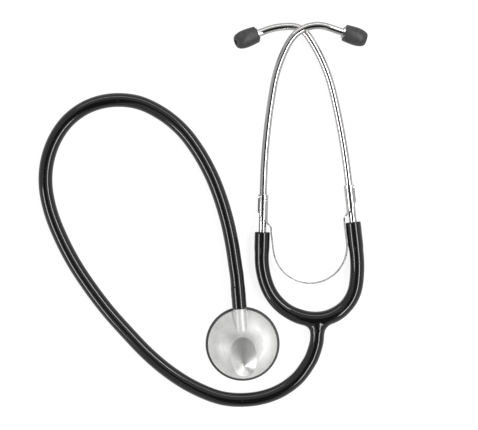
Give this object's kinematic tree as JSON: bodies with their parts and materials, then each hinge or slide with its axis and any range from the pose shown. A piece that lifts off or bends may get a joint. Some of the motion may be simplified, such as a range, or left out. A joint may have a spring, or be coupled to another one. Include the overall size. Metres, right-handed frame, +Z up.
{
  "type": "single-head stethoscope",
  "caption": "Single-head stethoscope laid flat: turned metal head with a diaphragm, glossy Y tubing, sprung crossed metal ear tubes and soft ear tips.",
  "frame": {"origin": "centre of the diaphragm's outer face, which lies on the table", "axes": "+Z up out of the head's hub, -Z the way the diaphragm faces, +Y towards the ear tips, +X to the right seen from above"},
  "size_m": [0.1994, 0.2331, 0.0136],
  "materials": {
    "head_aluminium": "satin, with fine turned lines",
    "stem_steel": "turned",
    "diaphragm": "smooth stiff film",
    "ring": "satin dark grey",
    "tubing": "glossy black moulded soft vinyl",
    "ear_tube_chrome": "polished",
    "clip_chrome": "polished sheet",
    "spring_steel": "bright",
    "ferrule": "nickel plated",
    "ear_tip": "soft dark grey, dull"
  },
  "bodies": {
    "tubing": {"tube_head_end": "tubing", "lead_tube": "tubing", "yoke": "tubing", "arm_left": "tubing", "arm_right": "tubing", "leaf_spring": "spring_steel"},
    "head": {"chestpiece_body": "head_aluminium", "chestpiece_stem": "stem_steel"},
    "rim": {"diaphragm_ring": "ring", "diaphragm": "diaphragm"},
    "binaural_left": {"ear_tube_left": "ear_tube_chrome", "spring_clip_left": "clip_chrome", "tip_ferrule_left": "ferrule"},
    "binaural_right": {"ear_tube_right": "ear_tube_chrome", "spring_clip_right": "clip_chrome", "tip_ferrule_right": "ferrule"},
    "tip_left": {"ear_tip_left": "ear_tip"},
    "tip_right": {"ear_tip_right": "ear_tip"}
  },
  "joints": [
    {"name": "head_turn", "type": "hinge", "parent": "tubing", "child": "head", "pos_m": [0, 0, 0.0067], "axis": [-0.0837, 0.9965, 0], "continuous": true},
    {"name": "rim_off", "type": "slide", "parent": "head", "child": "rim", "axis": [0, 0, -1], "range_m": [0, 0.004]},
    {"name": "ear_tube_left_open", "type": "hinge", "parent": "tubing", "child": "binaural_left", "pos_m": [0.0131, 0.042, 0.0054], "axis": [0.4384, 0, 0.8988], "range_deg": [0, 35], "stiffness_Nm_per_rad": 0.6, "deforming": ["arm_left", "leaf_spring"]},
    {"name": "ear_tube_right_open", "type": "hinge", "parent": "tubing", "child": "binaural_right", "pos_m": [0.0694, 0.043, 0.00465], "axis": [0, 0, 1], "range_deg": [-35, 0], "stiffness_Nm_per_rad": 0.6, "deforming": ["arm_right", "leaf_spring"]},
    {"name": "ear_tip_left_off", "type": "slide", "parent": "binaural_left", "child": "tip_left", "axis": [0.9421, -0.3003, -0.1489], "range_m": [0, 0.008]},
    {"name": "ear_tip_right_off", "type": "slide", "parent": "binaural_right", "child": "tip_right", "axis": [-0.8878, -0.3805, 0.2588], "range_m": [0, 0.008]}
  ],
  "couplings": [
    {"joint": "ear_tube_right_open", "follows": "ear_tube_left_open", "ratio": -1}
  ]
}
